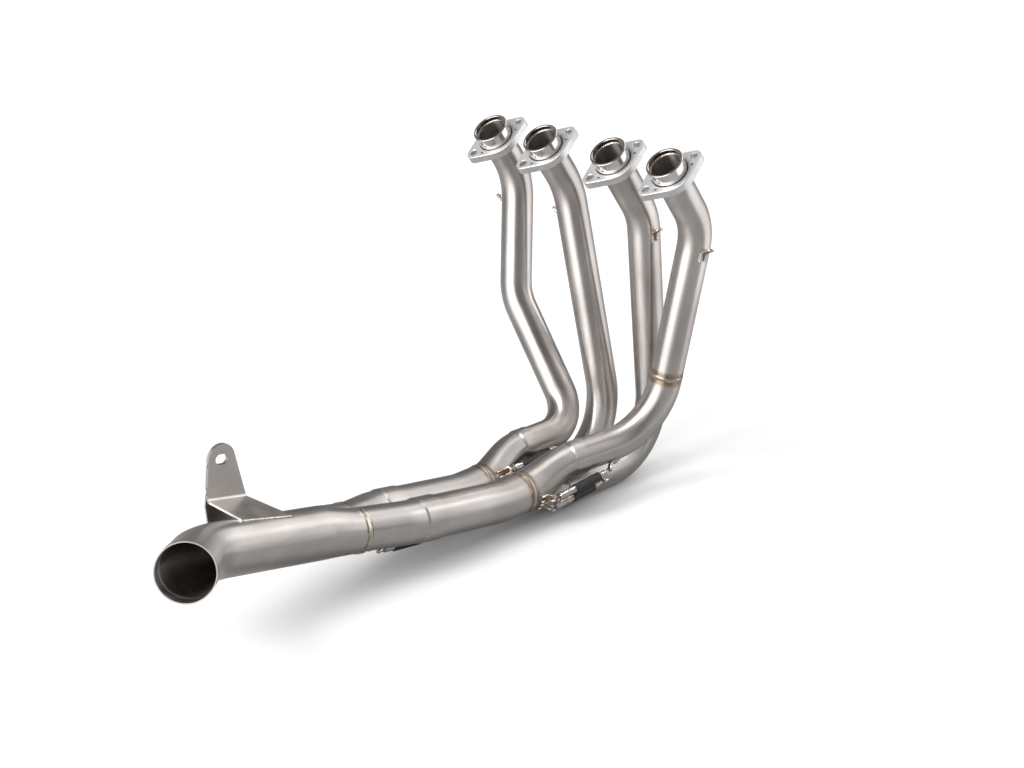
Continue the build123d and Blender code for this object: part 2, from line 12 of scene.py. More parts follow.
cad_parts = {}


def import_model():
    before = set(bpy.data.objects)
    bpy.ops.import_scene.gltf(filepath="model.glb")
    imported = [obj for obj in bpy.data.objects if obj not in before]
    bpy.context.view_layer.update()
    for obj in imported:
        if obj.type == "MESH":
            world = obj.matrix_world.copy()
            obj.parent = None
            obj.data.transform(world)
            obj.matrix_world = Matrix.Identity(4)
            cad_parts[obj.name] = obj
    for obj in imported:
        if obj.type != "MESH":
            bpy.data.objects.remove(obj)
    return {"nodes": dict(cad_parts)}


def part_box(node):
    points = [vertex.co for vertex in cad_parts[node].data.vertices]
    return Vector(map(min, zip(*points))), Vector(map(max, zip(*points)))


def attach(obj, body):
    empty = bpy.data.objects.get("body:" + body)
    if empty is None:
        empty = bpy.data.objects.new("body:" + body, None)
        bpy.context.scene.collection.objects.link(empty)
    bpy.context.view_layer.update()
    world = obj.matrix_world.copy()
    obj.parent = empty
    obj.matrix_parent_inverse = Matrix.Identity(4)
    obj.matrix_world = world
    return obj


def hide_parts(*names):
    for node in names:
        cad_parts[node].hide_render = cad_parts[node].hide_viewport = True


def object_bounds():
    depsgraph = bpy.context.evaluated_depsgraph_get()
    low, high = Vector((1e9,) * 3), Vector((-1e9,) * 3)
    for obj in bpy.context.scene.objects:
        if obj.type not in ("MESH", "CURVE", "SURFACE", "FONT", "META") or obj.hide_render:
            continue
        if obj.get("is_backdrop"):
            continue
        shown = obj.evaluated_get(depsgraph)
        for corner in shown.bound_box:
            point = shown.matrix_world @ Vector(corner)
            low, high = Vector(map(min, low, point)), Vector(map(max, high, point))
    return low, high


LOG = logging.getLogger("header")
MM = 0.001
HEADER = "header"
FACE_TILT = math.radians(37.5)
FACE_OUT = Vector((0.0, -math.sin(FACE_TILT), math.cos(FACE_TILT)))
FULL = (0.0, 1.0)
FADE = (1.0, 0.0)
MID_NOISE = (0.3, 0.7)


class Slot(Enum):
    """Material slots of the record."""

    TUBE = "tube"
    FLANGE = "flange"
    SLEEVE = "sleeve"
    WELD = "weld"
    HOOK = "hook"
    SPRING = "spring"
    RUBBER = "rubber"
    BRACKET = "bracket"


class Grain(Enum):
    """Direction in which a brushed surface was rubbed, as stretch factors of the noise."""

    UPRIGHT = (1.0, 1.0, 0.05)
    LENGTHWISE = (1.0, 0.05, 1.0)
    EVEN = (1.0, 1.0, 1.0)


class Lie(Enum):
    """How a tube lies: the heights below which it runs level and above which it stands."""

    LEVEL = (1.0, 2.0)
    STANDING = (0.05, 0.16)


@dataclass(frozen=True)
class HeatSpot:
    """A place where welding has tinted the steel round it."""

    middle: tuple[float, float, float]
    inner: float
    outer: float


class Graph:
    """A material's node tree with short ways to add and link its nodes."""

    def __init__(self, name: str) -> None:
        """Start a material with an empty tree and one surface shader."""
        self.material = bpy.data.materials.new(name)
        self.material.use_nodes = True
        self.tree = self.material.node_tree
        self.shader = self.tree.nodes["Principled BSDF"]
        self.place = self.add("ShaderNodeTexCoord").outputs["Object"]

    def add(self, kind: str, **settings: object) -> bpy.types.Node:
        """Add a node.

        Args:
            kind: Blender's name of the node type.
            settings: Properties of the node, set by name.

        Returns:
            The new node.
        """
        node = self.tree.nodes.new(kind)
        for key, value in settings.items():
            setattr(node, key, value)
        return node

    def link(self, source: bpy.types.NodeSocket, target: bpy.types.NodeSocket) -> None:
        """Join two sockets.

        Args:
            source: The socket that gives the value.
            target: The socket that takes it.
        """
        self.tree.links.new(source, target)

    def stretched(self, factors: tuple[float, float, float]) -> bpy.types.NodeSocket:
        """Object coordinates stretched along the axes.

        Args:
            factors: Scale on each axis.

        Returns:
            The stretched coordinates.
        """
        node = self.add("ShaderNodeMapping")
        node.inputs["Scale"].default_value = factors
        self.link(self.place, node.inputs["Vector"])
        return node.outputs["Vector"]

    def noise(self, scale: float, detail: float, where: bpy.types.NodeSocket) -> bpy.types.NodeSocket:
        """A noise between 0 and 1.

        Args:
            scale: Waves in a metre.
            detail: Octaves of finer noise.
            where: Coordinates to read.

        Returns:
            The noise value.
        """
        node = self.add("ShaderNodeTexNoise")
        node.inputs["Scale"].default_value = scale
        node.inputs["Detail"].default_value = detail
        self.link(where, node.inputs["Vector"])
        return node.outputs["Fac"]

    def remap(
        self,
        value: bpy.types.NodeSocket,
        span: tuple[float, float],
        result: tuple[float, float],
    ) -> bpy.types.NodeSocket:
        """Map a value from one span to another, clamped.

        Args:
            value: The value to map.
            span: Lowest and highest value that count.
            result: What they become.

        Returns:
            The mapped value.
        """
        node = self.add("ShaderNodeMapRange", interpolation_type="SMOOTHSTEP")
        self.link(value, node.inputs["Value"])
        names = ("From Min", "From Max", "To Min", "To Max")
        for name, number in zip(names, span + result):
            node.inputs[name].default_value = number
        return node.outputs["Result"]

    def blend(
        self,
        share: bpy.types.NodeSocket,
        first: object,
        second: object,
        how: str = "MIX",
    ) -> bpy.types.NodeSocket:
        """Mix two colours.

        Args:
            share: How much of the second colour shows.
            first: A colour or a socket.
            second: A colour or a socket.
            how: Blend mode.

        Returns:
            The mixed colour.
        """
        node = self.add("ShaderNodeMix", data_type="RGBA", blend_type=how)
        self.link(share, node.inputs["Factor"])
        for key, colour in (("A", first), ("B", second)):
            socket = next(s for s in node.inputs if s.name == key and s.type == "RGBA")
            if isinstance(colour, tuple):
                socket.default_value = (*colour, 1.0)
            else:
                self.link(colour, socket)
        return next(s for s in node.outputs if s.type == "RGBA")

    def highest(self, values: list[bpy.types.NodeSocket]) -> bpy.types.NodeSocket:
        """The highest of several values.

        Args:
            values: The values to compare.

        Returns:
            The highest value.
        """
        result = values[0]
        for value in values[1:]:
            node = self.add("ShaderNodeMath", operation="MAXIMUM")
            self.link(result, node.inputs[0])
            self.link(value, node.inputs[1])
            result = node.outputs[0]
        return result

    def bump(self, heights: list[tuple[bpy.types.NodeSocket, float]]) -> None:
        """Raise the surface by several height fields, one over the other.

        Args:
            heights: Pairs of a height from 0 to 1 and its depth in metres.
        """
        normal = None
        for height, depth in heights:
            node = self.add("ShaderNodeBump")
            node.inputs["Distance"].default_value = depth
            self.link(height, node.inputs["Height"])
            if normal is not None:
                self.link(normal, node.inputs["Normal"])
            normal = node.outputs["Normal"]
        if normal is not None:
            self.link(normal, self.shader.inputs["Normal"])

    def polish(self, amount: float, lie: Lie) -> None:
        """Draw the shine out along the tube, as polishing round it does.

        Args:
            amount: How far the shine is drawn out, from 0 to 1.
            lie: Which way the tube lies.
        """
        split = self.add("ShaderNodeSeparateXYZ")
        self.link(self.place, split.inputs[0])
        along = self.add("ShaderNodeCombineXYZ")
        level = self.remap(split.outputs["Z"], lie.value, FADE)
        rest = self.add("ShaderNodeMath", operation="SUBTRACT")
        rest.inputs[0].default_value = 1.0
        self.link(level, rest.inputs[1])
        self.link(level, along.inputs["Y"])
        self.link(rest.outputs[0], along.inputs["Z"])
        self.shader.inputs["Anisotropic"].default_value = amount
        self.link(along.outputs[0], self.shader.inputs["Tangent"])

    def heat(self, spots: tuple[HeatSpot, ...]) -> bpy.types.NodeSocket:
        """How strongly welding has tinted a point, from 0 to 1.

        Args:
            spots: Places of the welds.

        Returns:
            The tint's strength.
        """
        wobble = self.noise(160.0, 2.0, self.place)
        marks = []
        for spot in spots:
            distance = self.add("ShaderNodeVectorMath", operation="DISTANCE")
            self.link(self.place, distance.inputs[0])
            distance.inputs[1].default_value = spot.middle
            marks.append(self.remap(distance.outputs["Value"], (spot.inner, spot.outer), FADE))
        mark = self.highest(marks)
        uneven = self.add("ShaderNodeMath", operation="MULTIPLY")
        self.link(mark, uneven.inputs[0])
        self.link(self.remap(wobble, (0.25, 0.75), (0.6, 1.0)), uneven.inputs[1])
        return uneven.outputs[0]

    def tinted(self, base: bpy.types.NodeSocket, strength: bpy.types.NodeSocket) -> bpy.types.NodeSocket:
        """Lay the straw to brown tint of welding over a colour.

        Args:
            base: The steel's own colour.
            strength: The tint's strength.

        Returns:
            The tinted colour.
        """
        ramp = self.add("ShaderNodeValToRGB")
        stops = ramp.color_ramp.elements
        stops[0].position, stops[0].color = 0.0, (1.0, 1.0, 1.0, 1.0)
        stops[1].position, stops[1].color = 1.0, (0.42, 0.35, 0.30, 1.0)
        for position, colour in ((0.35, (0.95, 0.89, 0.78, 1.0)), (0.7, (0.72, 0.61, 0.50, 1.0))):
            stop = stops.new(position)
            stop.color = colour
        self.link(strength, ramp.inputs["Fac"])
        full = self.add("ShaderNodeMath", operation="SIGN")
        self.link(strength, full.inputs[0])
        return self.blend(full.outputs[0], base, ramp.outputs["Color"], "MULTIPLY")


@dataclass(frozen=True)
class BrushedSteel:
    """Satin stainless steel: two close greys, fine grain and a tint round the welds."""

    name: str
    grain: Grain = Grain.EVEN
    lie: Lie | None = None
    light: tuple[float, float, float] = (0.60, 0.57, 0.55)
    dark: tuple[float, float, float] = (0.46, 0.43, 0.41)
    rough: tuple[float, float] = (0.33, 0.42)
    drawn_out: float = 0.88
    cloud_scale: float = 14.0
    streak_scale: float = 900.0
    patch_scale: float = 60.0
    streak_share: float = 0.35
    dent: float = 0.06 * MM
    scratch: float = 0.004 * MM
    spots: tuple[HeatSpot, ...] = ()

    def make(self) -> bpy.types.Material:
        """Build the finish."""
        graph = Graph(self.name)
        stretched = graph.stretched(self.grain.value)
        cloud = graph.noise(self.cloud_scale, 4.0, graph.place)
        streak = graph.noise(self.streak_scale, 3.0, stretched)
        steel = graph.blend(graph.remap(cloud, MID_NOISE, FULL), self.light, self.dark)
        steel = graph.blend(graph.remap(streak, (0.35, 0.75), (0.0, self.streak_share)), steel, self.dark)
        if self.spots:
            steel = graph.tinted(steel, graph.heat(self.spots))
        graph.link(steel, graph.shader.inputs["Base Color"])
        graph.shader.inputs["Metallic"].default_value = 1.0
        patch = graph.noise(self.patch_scale, 5.0, stretched)
        graph.link(graph.remap(patch, MID_NOISE, self.rough), graph.shader.inputs["Roughness"])
        if self.lie is not None:
            graph.polish(self.drawn_out, self.lie)
        graph.bump([(cloud, self.dent), (streak, self.scratch)])
        return graph.material


@dataclass(frozen=True)
class MilledPlate:
    """Bright blasted plate with a very fine even grain."""

    name: str
    light: tuple[float, float, float] = (0.70, 0.695, 0.69)
    dark: tuple[float, float, float] = (0.60, 0.595, 0.59)
    rough: tuple[float, float] = (0.42, 0.52)
    cloud_scale: float = 45.0
    grit_scale: float = 1800.0
    grit: float = 0.03 * MM

    def make(self) -> bpy.types.Material:
        """Build the finish."""
        graph = Graph(self.name)
        fine = graph.noise(self.grit_scale, 2.0, graph.place)
        cloud = graph.noise(self.cloud_scale, 4.0, graph.place)
        share = graph.remap(cloud, MID_NOISE, FULL)
        graph.link(graph.blend(share, self.light, self.dark), graph.shader.inputs["Base Color"])
        graph.shader.inputs["Metallic"].default_value = 0.85
        graph.link(graph.remap(cloud, MID_NOISE, self.rough), graph.shader.inputs["Roughness"])
        graph.bump([(fine, self.grit)])
        return graph.material


@dataclass(frozen=True)
class TurnedSteel:
    """Polished turned steel with fine grooves round its axis."""

    name: str
    axis: Vector
    colour: tuple[float, float, float] = (0.66, 0.645, 0.63)
    dull: tuple[float, float, float] = (0.54, 0.52, 0.50)
    rough: tuple[float, float] = (0.13, 0.22)
    cloud_scale: float = 70.0
    groove_scale: float = 1500.0
    groove: float = 0.012 * MM

    def make(self) -> bpy.types.Material:
        """Build the finish."""
        graph = Graph(self.name)
        along = graph.add("ShaderNodeVectorMath", operation="DOT_PRODUCT")
        graph.link(graph.place, along.inputs[0])
        along.inputs[1].default_value = self.axis
        grooves = graph.add("ShaderNodeTexNoise", noise_dimensions="1D")
        grooves.inputs["Scale"].default_value = self.groove_scale
        grooves.inputs["Detail"].default_value = 3.0
        graph.link(along.outputs["Value"], grooves.inputs["W"])
        cloud = graph.noise(self.cloud_scale, 3.0, graph.place)
        share = graph.remap(cloud, (0.35, 0.7), FULL)
        graph.link(graph.blend(share, self.colour, self.dull), graph.shader.inputs["Base Color"])
        graph.shader.inputs["Metallic"].default_value = 1.0
        graph.link(graph.remap(cloud, MID_NOISE, self.rough), graph.shader.inputs["Roughness"])
        graph.bump([(grooves.outputs["Fac"], self.groove)])
        return graph.material


@dataclass(frozen=True)
class WeldMetal:
    """Weld bead: straw and brown patches, small ripples."""

    name: str
    bright: tuple[float, float, float] = (0.50, 0.45, 0.40)
    brown: tuple[float, float, float] = (0.36, 0.31, 0.26)
    rough: tuple[float, float] = (0.24, 0.4)
    patch_scale: float = 260.0
    ripple_scale: float = 750.0
    ripple: float = 0.08 * MM

    def make(self) -> bpy.types.Material:
        """Build the finish."""
        graph = Graph(self.name)
        patch = graph.noise(self.patch_scale, 4.0, graph.place)
        ripple = graph.noise(self.ripple_scale, 1.0, graph.place)
        share = graph.remap(patch, (0.38, 0.66), FULL)
        graph.link(graph.blend(share, self.bright, self.brown), graph.shader.inputs["Base Color"])
        graph.shader.inputs["Metallic"].default_value = 1.0
        graph.link(graph.remap(patch, MID_NOISE, self.rough), graph.shader.inputs["Roughness"])
        graph.bump([(ripple, self.ripple)])
        return graph.material


@dataclass(frozen=True)
class BrightWire:
    """Drawn wire, bright where it is clean and brown near a weld."""

    name: str
    colour: tuple[float, float, float] = (0.62, 0.59, 0.56)
    dull: tuple[float, float, float] = (0.42, 0.38, 0.34)
    rough: tuple[float, float] = (0.18, 0.3)
    patch_scale: float = 300.0
    pitting: float = 0.02 * MM
    spots: tuple[HeatSpot, ...] = ()

    def make(self) -> bpy.types.Material:
        """Build the finish."""
        graph = Graph(self.name)
        patch = graph.noise(self.patch_scale, 3.0, graph.place)
        wire = graph.blend(graph.remap(patch, (0.35, 0.7), FULL), self.colour, self.dull)
        if self.spots:
            wire = graph.tinted(wire, graph.heat(self.spots))
        graph.link(wire, graph.shader.inputs["Base Color"])
        graph.shader.inputs["Metallic"].default_value = 1.0
        graph.link(graph.remap(patch, MID_NOISE, self.rough), graph.shader.inputs["Roughness"])
        graph.bump([(patch, self.pitting)])
        return graph.material


@dataclass(frozen=True)
class MattRubber:
    """Matt black moulded rubber with a fine skin."""

    name: str
    deep: tuple[float, float, float] = (0.018, 0.018, 0.019)
    dusty: tuple[float, float, float] = (0.045, 0.044, 0.043)
    rough: tuple[float, float] = (0.55, 0.75)
    dust_scale: float = 220.0
    skin_scale: float = 2600.0
    skin: float = 0.05 * MM

    def make(self) -> bpy.types.Material:
        """Build the finish."""
        graph = Graph(self.name)
        dust = graph.noise(self.dust_scale, 5.0, graph.place)
        skin = graph.noise(self.skin_scale, 2.0, graph.place)
        share = graph.remap(dust, (0.4, 0.75), FULL)
        graph.link(graph.blend(share, self.deep, self.dusty), graph.shader.inputs["Base Color"])
        graph.link(graph.remap(dust, MID_NOISE, self.rough), graph.shader.inputs["Roughness"])
        graph.bump([(skin, self.skin)])
        return graph.material


class NodeFacts:
    """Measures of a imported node, taken from its mesh."""

    def __init__(self, node: bpy.types.Object) -> None:
        """Read the node's corner points in metres."""
        count = len(node.data.vertices)
        flat = np.empty(3 * count)
        node.data.vertices.foreach_get("co", flat)
        self.points = flat.reshape(count, 3)

    def middle(self, axes: np.ndarray) -> np.ndarray:
        """Middle of the node's box in a turned frame.

        Args:
            axes: Three unit vectors, one a row.

        Returns:
            The middle in the shared frame.
        """
        local = self.points @ axes.T
        return (local.min(axis=0) + local.max(axis=0)) / 2 @ axes

    @staticmethod
    def spread(points: np.ndarray) -> np.ndarray:
        """Main directions of a set of points, the widest first.

        Args:
            points: Points to measure.

        Returns:
            Three unit vectors, one a row.
        """
        centred = points - points.mean(axis=0)
        _, vectors = np.linalg.eigh(centred.T @ centred)
        return vectors.T[::-1]


class RoundWire:
    """Makes a mesh of round wire along a course of points."""

    @staticmethod
    def frames(course: np.ndarray) -> tuple[np.ndarray, np.ndarray]:
        """Side vectors along a course, carried along without twist.

        Args:
            course: Points of the wire's middle line.

        Returns:
            Two arrays of unit vectors square to the course.
        """
        ahead = np.gradient(course, axis=0)
        ahead /= np.linalg.norm(ahead, axis=1)[:, None]
        side = np.cross(ahead[0], (0.31, 0.52, 0.79))
        sides = []
        for direction in ahead:
            side = side - direction * (side @ direction)
            side /= np.linalg.norm(side)
            sides.append(side)
        sides = np.array(sides)
        return sides, np.cross(ahead, sides)

    @staticmethod
    def build(
        name: str,
        course: np.ndarray,
        radius: np.ndarray,
        sides: int,
        closed: bool,
    ) -> bpy.types.Object:
        """Build the wire.

        Args:
            name: Name of the new object.
            course: Points of the wire's middle line.
            radius: Radius at each point.
            sides: Faces round the wire.
            closed: Whether the course joins up with its start.

        Returns:
            The new object.
        """
        across, up = RoundWire.frames(course)
        angle = np.arange(sides) * (2 * math.pi / sides)
        ring = across[:, None] * np.cos(angle)[None, :, None] + up[:, None] * np.sin(angle)[None, :, None]
        points = (course[:, None] + ring * radius[:, None, None]).reshape(-1, 3)
        count = len(course)
        faces = []
        for i in range(count if closed else count - 1):
            j = (i + 1) % count
            for k in range(sides):
                m = (k + 1) % sides
                faces.append((i * sides + k, i * sides + m, j * sides + m, j * sides + k))
        if not closed:
            faces.append(tuple(reversed(range(sides))))
            faces.append(tuple((count - 1) * sides + k for k in range(sides)))
        mesh = bpy.data.meshes.new(name)
        mesh.from_pydata(points.tolist(), [], faces)
        mesh.polygons.foreach_set("use_smooth", [True] * len(faces))
        mesh.update()
        wire = bpy.data.objects.new(name, mesh)
        bpy.context.scene.collection.objects.link(wire)
        return wire


@dataclass
class WoundSprings:
    """Coil springs with a loop at both ends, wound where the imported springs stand."""

    nodes: dict[str, bpy.types.Object]
    coil_r: float = 4.15 * MM
    wire_r: float = 0.75 * MM
    loop_r: float = 3.5 * MM
    neck: float = 2.6 * MM
    pitch: float = 1.56 * MM
    steps: int = 20
    sides: int = 10
    loop_turn: float = 330.0
    loop_start: float = 14.0
    loop_steps: int = 40
    swell_turns: float = 0.6

    def names(self) -> list[str]:
        """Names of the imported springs."""
        return sorted(
            n for n in self.nodes if n.startswith("spring_") and "sleeve" not in n and "hook" not in n
        )

    def loop(self, middle: np.ndarray, inwards: np.ndarray, across: np.ndarray) -> np.ndarray:
        """Points of an end loop, from its open end to where the neck begins.

        Args:
            middle: Middle of the loop.
            inwards: Direction from the loop to the coil.
            across: Direction in the loop's plane, square to the spring.

        Returns:
            The points.
        """
        angle = np.radians(np.linspace(self.loop_turn, self.loop_start, self.loop_steps))[:, None]
        return middle + self.loop_r * (np.cos(angle) * inwards + np.sin(angle) * across)

    def course(self, facts: NodeFacts) -> np.ndarray:
        """Middle line of the wire, from the first loop through the coil to the last.

        Args:
            facts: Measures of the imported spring.

        Returns:
            The points.
        """
        axis = facts.spread(facts.points)[0]
        along = facts.points @ axis
        reach = 2 * (self.loop_r + self.wire_r)
        middles, normals = [], []
        for end, inwards in ((along.min(), 1.0), (along.max(), -1.0)):
            near = facts.points[np.abs(along - end) < reach]
            normal = facts.spread(near)[2]
            normal = normal - axis * (normal @ axis)
            normal /= np.linalg.norm(normal)
            axes = np.array([axis, np.cross(normal, axis), normal])
            local = near @ axes.T
            centre = (local.min(axis=0) + local.max(axis=0)) / 2
            centre[0] = end + inwards * (self.loop_r + self.wire_r)
            middles.append(centre @ axes)
            normals.append(normal)
        axis = middles[1] - middles[0]
        length = float(np.linalg.norm(axis))
        axis = axis / length
        start = self.loop_r + self.neck - self.wire_r
        first = np.cross(normals[0], axis)
        second = np.cross(axis, first)
        wound = length - 2 * start
        turns = wound / self.pitch
        turn = np.linspace(0.0, turns, int(turns * self.steps))
        swell = np.clip(np.minimum(turn, turns - turn) / self.swell_turns, 0.0, 1.0)
        radius = (self.coil_r - self.wire_r) * np.sqrt(swell)
        angle = 2 * math.pi * turn
        height = start + wound * turn / turns
        coil = (
            middles[0]
            + axis * height[:, None]
            + first * (radius * np.cos(angle))[:, None]
            + second * (radius * np.sin(angle))[:, None]
        )
        head = self.loop(middles[0], axis, first)
        tail = self.loop(middles[1], -axis, np.cross(normals[1], axis))[::-1]
        return self.smoothed(np.vstack([head, coil, tail]))

    @staticmethod
    def smoothed(points: np.ndarray) -> np.ndarray:
        """Round the corners of a course a little.

        Args:
            points: The course.

        Returns:
            The rounded course.
        """
        for _ in range(2):
            inner = (points[:-2] + 2 * points[1:-1] + points[2:]) / 4
            points = np.vstack([points[:1], inner, points[-1:]])
        return points

    def build(self, finish: bpy.types.Material) -> None:
        """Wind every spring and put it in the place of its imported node.

        Args:
            finish: Material of the wire.
        """
        for name in self.names():
            course = self.course(NodeFacts(self.nodes[name]))
            radius = np.full(len(course), self.wire_r)
            wire = RoundWire.build(f"wound_{name}", course, radius, self.sides, False)
            wire.data.materials.append(finish)
            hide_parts(name)
            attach(wire, HEADER)
            LOG.info("wound %s, %d points", name, len(course))


@dataclass
class SeamBeads:
    """Rings of weld where two pipes meet, laid as overlapping drops."""

    nodes: dict[str, bpy.types.Object]
    drop: float = 1.2 * MM
    around: int = 600
    across: int = 12
    sweep: float = 0.35
    crown: tuple[float, float, float] = (0.8, 0.2, 0.7)
    foot: float = 0.1 * MM
    rings: tuple[str, ...] = ("butt_weld_tube_4", "merge_weld_near", "merge_weld_far")

    def ring(self, name: str) -> bpy.types.Object:
        """One rippled ring in the place of a packed bead.

        Args:
            name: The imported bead's node.

        Returns:
            The new object.
        """
        facts = NodeFacts(self.nodes[name])
        axes = facts.spread(facts.points)
        centre = facts.middle(axes)
        normal = axes[2]
        offset = facts.points - centre
        height = offset @ normal
        radial = np.linalg.norm(offset - np.outer(height, normal), axis=1)
        half = float(height.max() - height.min()) / 2
        low, high = float(radial.min()), float(radial.max())
        count = round(2 * math.pi * low / self.drop)
        crown_low, crown_rise, crown_power = self.crown
        angle = np.arange(self.around) * (2 * math.pi / self.around)
        points, faces = [], []
        for a in angle:
            out = axes[0] * math.cos(a) + axes[1] * math.sin(a)
            for k in range(self.across):
                share = 2 * k / (self.across - 1) - 1
                phase = (a * count / (2 * math.pi) + self.sweep * share**2) % 1.0
                crown = crown_low + crown_rise * math.sin(math.pi * phase) ** crown_power
                rise = (high - low) * (1 - share**2) * crown
                points.append(centre + normal * (half * share) + out * (low + rise))
        inner = len(points)
        for a in angle:
            out = axes[0] * math.cos(a) + axes[1] * math.sin(a)
            points.append(centre + out * (low - self.foot))
        for i in range(self.around):
            j = (i + 1) % self.around
            for k in range(self.across - 1):
                m, n = i * self.across + k, j * self.across + k
                faces.append((m, n, n + 1, m + 1))
            last = self.across - 1
            faces.append((i * self.across + last, j * self.across + last, inner + j, inner + i))
            faces.append((inner + i, inner + j, j * self.across, i * self.across))
        mesh = bpy.data.meshes.new(f"seam_{name}")
        mesh.from_pydata([tuple(p) for p in points], [], faces)
        mesh.polygons.foreach_set("use_smooth", [True] * len(faces))
        mesh.update()
        seam = bpy.data.objects.new(f"seam_{name}", mesh)
        bpy.context.scene.collection.objects.link(seam)
        return seam

    def build(self, finish: bpy.types.Material) -> None:
        """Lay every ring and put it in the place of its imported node.

        Args:
            finish: Material of the weld.
        """
        for name in self.rings:
            seam = self.ring(name)
            seam.data.materials.append(finish)
            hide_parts(name)
            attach(seam, HEADER)
            LOG.info("laid %s", seam.name)


@dataclass
class InletRow:
    """The four inlets: seal weld inside each sleeve, at the end of the tube."""

    nodes: dict[str, bpy.types.Object]
    count: int = 4
    tube_below_top: float = 6.2 * MM
    bore_r: float = 18.4 * MM
    bead_r: float = 0.75 * MM
    sunk: float = 0.6
    lumps: tuple[tuple[float, int], ...] = ((0.12, 40), (0.08, 7))
    around: int = 160
    sides: int = 10

    def build(self, finish: bpy.types.Material) -> None:
        """Lay the seal weld of every inlet.

        Args:
            finish: Material of the weld.
        """
        level = Vector((1.0, 0.0, 0.0))
        axes = np.array([level, FACE_OUT.cross(level), FACE_OUT])
        angle = np.linspace(0.0, 2 * math.pi, self.around, endpoint=False)
        radius = self.bead_r * (1 + sum(size * np.sin(waves * angle) for size, waves in self.lumps))
        reach = self.bore_r - self.sunk * self.bead_r
        for i in range(1, self.count + 1):
            facts = NodeFacts(self.nodes[f"inlet_sleeve_{i}"])
            middle = facts.middle(axes)
            top = float((facts.points @ axes[2]).max())
            middle = middle + axes[2] * (top - self.tube_below_top - middle @ axes[2])
            course = middle + reach * (
                np.outer(np.cos(angle), axes[0]) + np.outer(np.sin(angle), axes[1])
            )
            bead = RoundWire.build(f"seal_weld_{i}", course, radius, self.sides, True)
            bead.data.materials.append(finish)
            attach(bead, HEADER)
            LOG.info("laid %s", bead.name)


@dataclass
class Dresser:
    """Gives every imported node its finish."""

    nodes: dict[str, bpy.types.Object]
    ring_tints: tuple[tuple[str, float, float], ...] = (
        ("butt_weld_tube_4", 19.6, 22.0),
        ("merge_weld_near", 23.9, 25.5),
        ("merge_weld_far", 23.9, 25.5),
    )
    hook_foot_tint: tuple[float, float] = (5.0, 11.0)
    hook_wire_tint: tuple[float, float] = (3.0, 8.0)

    def middle(self, name: str) -> Vector:
        """Middle of a node's box at rest.

        Args:
            name: The node.

        Returns:
            The middle of its box.
        """
        low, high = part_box(name)
        return (Vector(low) + Vector(high)) / 2

    def ring_spots(self) -> tuple[HeatSpot, ...]:
        """Tint beside the ring welds.

        Returns:
            One spot a ring.
        """
        return tuple(
            HeatSpot(tuple(self.middle(name)), inner * MM, outer * MM)
            for name, inner, outer in self.ring_tints
        )

    def hook_spots(self, inner: float, outer: float) -> tuple[HeatSpot, ...]:
        """Tint round the feet of the hooks.

        Args:
            inner: Distance within which the tint is full, in mm.
            outer: Distance at which it ends, in mm.

        Returns:
            One spot a hook.
        """
        names = sorted(n for n in self.nodes if n.startswith("spring_hook"))
        return tuple(HeatSpot(tuple(self.middle(n)), inner * MM, outer * MM) for n in names)

    def finish_of(self, name: str, finishes: dict[str, bpy.types.Material]) -> bpy.types.Material:
        """Choose a node's finish by its name.

        Args:
            name: The node.
            finishes: Finishes by key.

        Returns:
            The material.
        """
        starts = (
            ("flange", "flange"),
            ("inlet_sleeve", "sleeve"),
            ("spring_sleeve", "rubber"),
            ("spring_hook", "hook"),
            ("spring_", "spring"),
            ("primary_tube", "upright"),
            ("bracket_welds", "weld"),
            ("bracket", "bracket"),
        )
        if "weld" in name:
            return finishes["weld"]
        for start, key in starts:
            if name.startswith(start):
                return finishes[key]
        return finishes["lengthwise"]

    def build(self) -> dict[str, bpy.types.Material]:
        """Build the finishes and give them to the nodes.

        Returns:
            The finishes by key.
        """
        tint = self.ring_spots() + self.hook_spots(*self.hook_foot_tint)
        kinds = {
            "flange": MilledPlate("blasted_plate"),
            "sleeve": TurnedSteel("turned_sleeve", FACE_OUT),
            "rubber": MattRubber("matt_rubber"),
            "hook": BrightWire("hook_wire", spots=self.hook_spots(*self.hook_wire_tint)),
            "spring": BrightWire("spring_wire"),
            "upright": BrushedSteel("satin_tube_upright", Grain.UPRIGHT, Lie.STANDING, spots=tint),
            "lengthwise": BrushedSteel("satin_tube_lengthwise", Grain.LENGTHWISE, Lie.LEVEL, spots=tint),
            "bracket": BrushedSteel("satin_sheet", Grain.EVEN, rough=(0.34, 0.46)),
            "weld": WeldMetal("weld_metal"),
        }
        finishes = {key: kind.make() for key, kind in kinds.items()}
        for name, node in self.nodes.items():
            material = self.finish_of(name, finishes)
            for slot in node.material_slots:
                slot.material = material
            LOG.info("dressed %s with %s", name, material.name)
        return finishes


